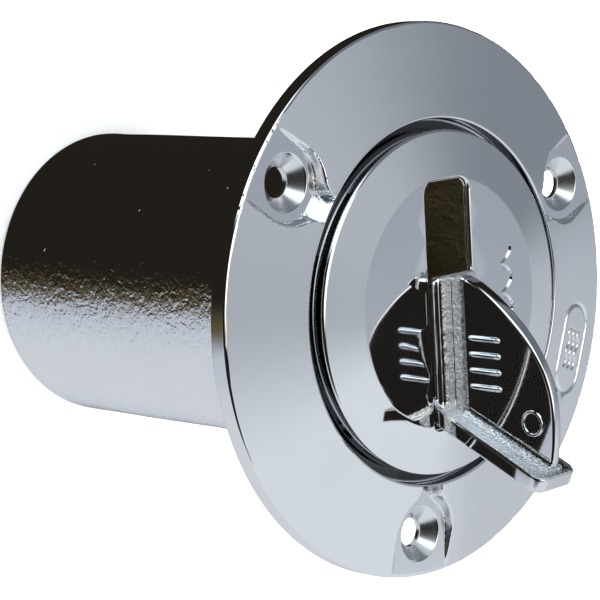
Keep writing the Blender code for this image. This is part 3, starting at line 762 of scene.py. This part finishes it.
roll = ((-0.02, -0.52), (0.02, -0.36), (0.10, -0.19), (0.22, -0.07), (0.38, 0.004), (1.2, 0.4))
mouth = [[(x, y, z) for x, y in slot_plan(grow)] for grow, z in roll]
cut_with(cap_casting, stacked_solid("slot_mouth", mouth))
cut_with(cap_casting, bar_across("pin_bore", PIN_S, -PIN_DEPTH, PIN_HOLE_R, -wall_y - 1.0, wall_y + 1.0))
for low_y, high_y in ((-wall_y - 2.2, -wall_y), (wall_y, wall_y + 2.2)):
    cut_with(cap_casting, bar_across("head_seat", PIN_S, -PIN_DEPTH, 2.1, low_y, high_y))
for start, first in ((2.0 * SCALLOP_PITCH, 0.40), (SCALLOP_PITCH, 0.0), (0.0, 0.0)):
    cut_with(cap_casting, scallop_cutter(start, first, 1.0))
seat_in_cap(cap_casting)


def pocket_mask(tree, axes):
    """On inside the slot and pocket, off on the polished face."""
    inside = band(tree, length_of(tree, axes[0], axes[1]), SLOT_END + 0.9, SLOT_END + 0.4)
    return math_node(tree, "MULTIPLY", inside, band(tree, axes[2], CAP_FLAT_Z - 0.5, CAP_FLAT_Z - 1.2))


cap_chrome = chrome_material("cap_chrome_plate", (0.84, 0.86, 0.89), pocket_mask, 0.00030, 0.8, 0.30,
                             (0.72, 0.66, 0.50))
shade(cap_casting, cap_chrome, 30.0)
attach(cap_casting, "cap")
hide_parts("filler_cap")

# ---- Cap thread -----------------------------------------------------------------
# The male thread on the cap's skirt: one trapezoid ridge, two and three quarter turns
# long, cut with the skirt and plated with it.
CAP_TURNS = 2.75
male_thread = grown_piece("male_thread", THREAD_RIDGE, {
    "Root Radius": 0.02160, "Crest Radius": 0.02280, "Root Half": 0.0009, "Crest Half": 0.00035,
    "Pitch": THREAD_PITCH * MM, "Turns": CAP_TURNS,
    "Bottom": (CAP_FLAT_Z - 10.6 - CAP_TURNS * THREAD_PITCH) * MM,
    "Start Turn": math.radians(SLOT_TURN - CAP_TURNS * 360.0), "Finish": cap_chrome})
shade(male_thread, cap_chrome)
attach(male_thread, "cap")

# ---- Seal ------------------------------------------------------------------------
# A black rubber O-ring in the groove under the cap's edge. It is moulded, with a
# dull bloom and a trace of grease.


def repaint(name, material):
    """Give a CAD piece a finer material and leave its mesh alone."""
    for slot in bpy.data.objects[name].material_slots:
        slot.link = "OBJECT"
        slot.material = material


seal_rubber = bpy.data.materials.new("seal_rubber")
seal_rubber.use_nodes = True
rubber_tree = seal_rubber.node_tree
rubber_shader = rubber_tree.nodes["Principled BSDF"]
rubber_place = rubber_tree.nodes.new("ShaderNodeTexCoord")
rubber_cloud = link_new(rubber_tree, "ShaderNodeTexNoise", Scale=240.0, Detail=4.0)
rubber_grit = link_new(rubber_tree, "ShaderNodeTexNoise", Scale=2600.0, Detail=2.0)
for node in (rubber_cloud, rubber_grit):
    rubber_tree.links.new(rubber_place.outputs["Object"], node.inputs["Vector"])
bloom = ramp_between(rubber_tree, rubber_cloud.outputs["Fac"], 0.4, 0.7)
rubber_colour = mix_colour(rubber_tree, bloom, (0.020, 0.020, 0.021), (0.045, 0.044, 0.043))
rubber_tree.links.new(rubber_colour, rubber_shader.inputs["Base Color"])
rubber_rough = math_node(rubber_tree, "MULTIPLY_ADD", bloom, 0.25, 0.42)
rubber_tree.links.new(rubber_rough, rubber_shader.inputs["Roughness"])
rubber_bump = link_new(rubber_tree, "ShaderNodeBump", Distance=0.00002, Strength=0.5)
rubber_tree.links.new(rubber_grit.outputs["Fac"], rubber_bump.inputs["Height"])
rubber_tree.links.new(rubber_bump.outputs["Normal"], rubber_shader.inputs["Normal"])
repaint("cap_o_ring", seal_rubber)

# ---- Hinge pin -----------------------------------------------------------------
# A stainless steel pin through the pocket walls, headed at both ends, on which the
# handle folds. Drawn wire, so fine lines run along it.
pin_steel = bpy.data.materials.new("pin_steel")
pin_steel.use_nodes = True
pin_tree = pin_steel.node_tree
pin_shader = pin_tree.nodes["Principled BSDF"]
pin_shader.inputs["Metallic"].default_value = 1.0
pin_place = pin_tree.nodes.new("ShaderNodeTexCoord")
pin_stretch = pin_tree.nodes.new("ShaderNodeMapping")
pin_stretch.inputs["Rotation"].default_value = (0.0, 0.0, -math.radians(SLOT_TURN))
pin_stretch.inputs["Scale"].default_value = (1.0, 0.04, 1.0)
pin_lines = link_new(pin_tree, "ShaderNodeTexNoise", Scale=3200.0, Detail=2.0)
pin_tree.links.new(pin_place.outputs["Object"], pin_stretch.inputs["Vector"])
pin_tree.links.new(pin_stretch.outputs["Vector"], pin_lines.inputs["Vector"])
pin_tree.links.new(mix_colour(pin_tree, pin_lines.outputs["Fac"], (0.46, 0.45, 0.44), (0.62, 0.61, 0.60)),
                   pin_shader.inputs["Base Color"])
pin_rough = math_node(pin_tree, "MULTIPLY_ADD", pin_lines.outputs["Fac"], 0.2, 0.18)
pin_tree.links.new(pin_rough, pin_shader.inputs["Roughness"])
pin_bump = link_new(pin_tree, "ShaderNodeBump", Distance=0.000008, Strength=0.6)
pin_tree.links.new(pin_lines.outputs["Fac"], pin_bump.inputs["Height"])
pin_tree.links.new(pin_bump.outputs["Normal"], pin_shader.inputs["Normal"])
repaint("hinge_pin", pin_steel)

# ---- Folding handle ----------------------------------------------------------------
# One chromed casting: a hub on the pin, a flat foot in the slot's mouth, a bar to turn
# the cap by, and a thin bowed web between them with raised grip ribs on both faces.
BAR_FOOT_S = -19.3
BAR_LEAN = math.radians(114.1)
BAR_LEN = 21.6
BAR_T = 2.8
BAR_W = 9.7
FOOT_TOP = 1.4
FOOT_END_S = 5.0
BAR_CORNER = 2.2
FOOT_CORNER = 1.3
WEB_T = 3.0
RING_PLACE = (-17.6, 16.6)


def bar_point(along, inward):
    """Place in the slot's plane, from the foot of the bar's outer face."""
    return (BAR_FOOT_S + along * math.cos(BAR_LEAN) + inward * math.sin(BAR_LEAN),
            along * math.sin(BAR_LEAN) - inward * math.cos(BAR_LEAN))


def round_edges(piece, width, segments=3, angle=30.0):
    """Roll the sharp edges of a casting."""
    step = piece.modifiers.new("edge", "BEVEL")
    step.width = width * MM
    step.segments = segments
    step.limit_method = "ANGLE"
    step.angle_limit = math.radians(angle)
    bpy.context.view_layer.update()
    settle(piece)


def smooth_line(points, fine):
    """Dense points on a smooth curve through the given ones."""
    line = []
    for k in range(len(points) - 1):
        p0, p1, p2, p3 = (Vector(points[min(max(k + d, 0), len(points) - 1)]) for d in (-1, 0, 1, 2))
        for i in range(fine):
            t = i / fine
            line.append(tuple(0.5 * (2 * p1 + (p2 - p0) * t + (2 * p0 - 5 * p1 + 4 * p2 - p3) * t * t
                                     + (3 * p1 - p0 - 3 * p2 + p3) * t ** 3)))
    return line + [tuple(points[-1])]


half = BAR_W / 2.0
bar_plan = [(-2.0, -half)] + arc_rows(BAR_LEN - BAR_CORNER, BAR_CORNER - half, BAR_CORNER, -90.0, 0.0, 10)
bar_plan += arc_rows(BAR_LEN - BAR_CORNER, half - BAR_CORNER, BAR_CORNER, 0.0, 90.0, 10) + [(-2.0, half)]
bar_faces = []
for inward in (0.0, BAR_T):
    bar_faces.append([(bar_point(a, inward)[0], w, bar_point(a, inward)[1]) for a, w in bar_plan])
handle_casting = stacked_solid("handle_casting", bar_faces)
round_edges(handle_casting, 0.55)
foot_arc = FOOT_END_S - FOOT_CORNER
foot_plan = [(BAR_FOOT_S + 1.7, -half)] + arc_rows(foot_arc, FOOT_CORNER - half, FOOT_CORNER, -90.0, 0.0, 8)
foot_plan += arc_rows(foot_arc, half - FOOT_CORNER, FOOT_CORNER, 0.0, 90.0, 8) + [(BAR_FOOT_S + 1.7, half)]
foot = stacked_solid("foot", [[(s, w, z) for s, w in foot_plan] for z in (FOOT_TOP - 1.8, FOOT_TOP)])
round_edges(foot, 0.35)
hub_side = arc_rows(PIN_S, -PIN_DEPTH, 3.0, 204.1, 360.0, 28)
hub_side += [(-8.6, FOOT_TOP - 1.2), (-8.6, FOOT_TOP - 0.5), (BAR_FOOT_S + 1.5, FOOT_TOP - 0.5)]
hub_side += [bar_point(0.2, 0.3)]
hub = slab_across("hub", hub_side, half)
web_bow = smooth_line([(4.9, 2.4), (4.1, 5.0), (2.7, 7.7), (0.8, 10.5), (-1.5, 13.2), (-4.1, 15.8),
                       (-6.9, 17.9), (-10.0, 19.5), (-13.2, 20.45), (-16.6, 20.75), (-20.5, 20.6),
                       (-23.3, 20.2)], 4)
web_side = [bar_point(0.5, BAR_T - 0.8), (FOOT_END_S - 4.0, FOOT_TOP - 0.5)]
web_side += [(FOOT_END_S - 0.5, FOOT_TOP - 0.5)]
web_side += web_bow + [bar_point(BAR_LEN - 1.4, BAR_T - 0.8)]
web_faces = []
for side in (-1.0, 1.0):
    web_faces.append([(s, side * (WEB_T / 2.0 - 0.0275 * z), z) for s, z in web_side])
web = stacked_solid("web", web_faces)
round_edges(web, 0.55, 3, 50.0)


def root_fillet(name, start, stop, rise, reach):
    """Concave root between the web and the face it stands on, along a straight line."""
    curve = [(reach + WEB_T / 2.0, -0.25), (reach + WEB_T / 2.0, 0.02)]
    curve += [(WEB_T / 2.0 + reach - reach * math.sin(a), reach - reach * math.cos(a))
              for a in (0.35, 0.7, 1.05, 1.35)]
    curve += [(WEB_T / 2.0 - 0.02, reach), (0.0, reach), (0.0, -0.25)]
    curve += [(-w, h) for w, h in reversed(curve[:-2])]
    rings = []
    for s, z in (start, stop):
        rings.append([(s + rise[0] * h, w, z + rise[1] * h) for w, h in curve])
    return stacked_solid(name, rings)


web_foot_root = root_fillet("web_foot_root", (-17.0, FOOT_TOP), (FOOT_END_S - 0.9, FOOT_TOP), (0.0, 1.0), 0.5)
inward_line = (math.sin(BAR_LEAN), -math.cos(BAR_LEAN))
web_bar_root = root_fillet("web_bar_root", bar_point(2.0, BAR_T), bar_point(BAR_LEN - 1.2, BAR_T),
                           inward_line, 0.7)
for part in (foot, hub, web, web_foot_root, web_bar_root):
    cut_with(handle_casting, part, "UNION")
ring_mark = bar_across("ring_mark", *RING_PLACE, 2.1, -1.32, 1.32, 48)
cut_with(ring_mark, bar_across("ring_eye", *RING_PLACE, 1.6, -4.0, 4.0, 48))
round_edges(ring_mark, 0.18)
cut_with(handle_casting, ring_mark, "UNION")
cut_with(handle_casting, bar_across("pin_way", PIN_S, -PIN_DEPTH, PIN_HOLE_R, -BAR_W, BAR_W))
seat_in_cap(handle_casting)


def sandy_mask(tree, axes):
    """On across the bar's inner face and along the root of the web."""
    joined = tree.nodes.new("ShaderNodeCombineXYZ")
    for index in range(3):
        tree.links.new(axes[index], joined.inputs[index])
    turn = math.radians(SLOT_TURN)
    inward = (inward_line[0] * math.cos(turn), inward_line[0] * math.sin(turn), inward_line[1])
    depth = reach_along(tree, joined.outputs[0], inward)
    bar_face = BAR_FOOT_S * inward_line[0] + BAR_T + CAP_FLAT_Z * inward_line[1]
    inner_face = math_node(tree, "MULTIPLY", band(tree, depth, bar_face - 0.245, bar_face - 0.045),
                           band(tree, depth, bar_face + 1.555, bar_face + 0.255))
    foot_z = CAP_FLAT_Z + FOOT_TOP
    foot_face = math_node(tree, "MULTIPLY", band(tree, axes[2], foot_z + 0.06, foot_z + 0.18),
                          band(tree, axes[2], foot_z + 2.80, foot_z + 0.20))
    return math_node(tree, "MAXIMUM", inner_face, math_node(tree, "MULTIPLY", foot_face, 2.2))


handle_chrome = chrome_material("handle_chrome_plate", (0.80, 0.82, 0.85), sandy_mask, 0.00034, 2.6, 0.20)
shade(handle_casting, handle_chrome, 32.0)
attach(handle_casting, "handle")
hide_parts("handle")

# ---- Grip ribs ------------------------------------------------------------------
# Four rounded ribs cast through the web, standing proud on both faces to give the
# fingers a hold. They are alike and evenly spaced.


def rib_tree():
    """Geometry Nodes that repeat one rounded rib along the slot."""
    tree = bpy.data.node_groups.new("grip_rib_row", "GeometryNodeTree")
    tree.interface.new_socket("Geometry", in_out="INPUT", socket_type="NodeSocketGeometry")
    for label, kind, value in (("Count", "NodeSocketInt", 4), ("Pitch", "NodeSocketFloat", 0.0026),
                               ("First", "NodeSocketFloat", -0.005), ("Low", "NodeSocketFloat", 0.004),
                               ("High", "NodeSocketFloat", 0.011), ("Half Width", "NodeSocketFloat", 0.00055),
                               ("Half Depth", "NodeSocketFloat", 0.00185)):
        tree.interface.new_socket(label, in_out="INPUT", socket_type=kind).default_value = value
    tree.interface.new_socket("Finish", in_out="INPUT", socket_type="NodeSocketMaterial")
    tree.interface.new_socket("Geometry", in_out="OUTPUT", socket_type="NodeSocketGeometry")
    given = tree.nodes.new("NodeGroupInput")
    made = tree.nodes.new("NodeGroupOutput")
    ends = []
    for label in ("Low", "High"):
        end = tree.nodes.new("ShaderNodeCombineXYZ")
        tree.links.new(given.outputs[label], end.inputs[2])
        ends.append(end.outputs[0])
    line = tree.nodes.new("GeometryNodeCurvePrimitiveLine")
    tree.links.new(ends[0], line.inputs["Start"])
    tree.links.new(ends[1], line.inputs["End"])
    points = tree.nodes.new("GeometryNodeResampleCurve")
    points.inputs["Count"].default_value = 33
    tree.links.new(line.outputs[0], points.inputs["Curve"])
    along = tree.nodes.new("GeometryNodeSplineParameter")
    doubled = math_node(tree, "MULTIPLY", along.outputs["Factor"], 2.0)
    centred = math_node(tree, "ABSOLUTE", math_node(tree, "SUBTRACT", doubled, 1.0))
    rounding = math_node(tree, "SUBTRACT", 1.0, math_node(tree, "POWER", centred, 12.0), clamp=True)
    fullness = math_node(tree, "SQRT", rounding)
    taper = tree.nodes.new("GeometryNodeSetCurveRadius")
    tree.links.new(points.outputs[0], taper.inputs["Curve"])
    tree.links.new(math_node(tree, "MAXIMUM", fullness, 0.02), taper.inputs["Radius"])
    circle = tree.nodes.new("GeometryNodeCurvePrimitiveCircle")
    circle.inputs["Resolution"].default_value = 28
    circle.inputs["Radius"].default_value = 1.0
    oval = tree.nodes.new("GeometryNodeTransform")
    oval_size = tree.nodes.new("ShaderNodeCombineXYZ")
    oval_size.inputs[2].default_value = 1.0
    tree.links.new(given.outputs["Half Width"], oval_size.inputs[0])
    tree.links.new(given.outputs["Half Depth"], oval_size.inputs[1])
    tree.links.new(circle.outputs[0], oval.inputs["Geometry"])
    tree.links.new(oval_size.outputs[0], oval.inputs["Scale"])
    rib = tree.nodes.new("GeometryNodeCurveToMesh")
    rib.inputs["Fill Caps"].default_value = True
    if "Scale" in rib.inputs:
        radius = tree.nodes.new("GeometryNodeInputRadius")
        tree.links.new(radius.outputs[0], rib.inputs["Scale"])
    tree.links.new(taper.outputs[0], rib.inputs["Curve"])
    tree.links.new(oval.outputs[0], rib.inputs["Profile Curve"])
    row = tree.nodes.new("GeometryNodeMeshLine")
    row.mode = "OFFSET"
    tree.links.new(given.outputs["Count"], row.inputs["Count"])
    for label, socket, sign in (("First", "Start Location", 1.0), ("Pitch", "Offset", -1.0)):
        place = tree.nodes.new("ShaderNodeCombineXYZ")
        tree.links.new(math_node(tree, "MULTIPLY", given.outputs[label], sign), place.inputs[0])
        tree.links.new(place.outputs[0], row.inputs[socket])
    copies = tree.nodes.new("GeometryNodeInstanceOnPoints")
    tree.links.new(row.outputs[0], copies.inputs["Points"])
    tree.links.new(rib.outputs[0], copies.inputs["Instance"])
    real = tree.nodes.new("GeometryNodeRealizeInstances")
    finish = tree.nodes.new("GeometryNodeSetMaterial")
    tree.links.new(copies.outputs[0], real.inputs[0])
    tree.links.new(real.outputs[0], finish.inputs["Geometry"])
    tree.links.new(given.outputs["Finish"], finish.inputs["Material"])
    tree.links.new(finish.outputs[0], made.inputs[0])
    return tree


grip_ribs = grown_piece("grip_ribs", rib_tree(), {
    "Count": 4, "Pitch": 0.0026, "First": -0.005, "Low": 0.00405, "High": 0.01095,
    "Half Width": 0.00072, "Half Depth": 0.00175, "Finish": handle_chrome})
seat_in_cap(grip_ribs)
shade(grip_ribs, handle_chrome)
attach(grip_ribs, "handle")
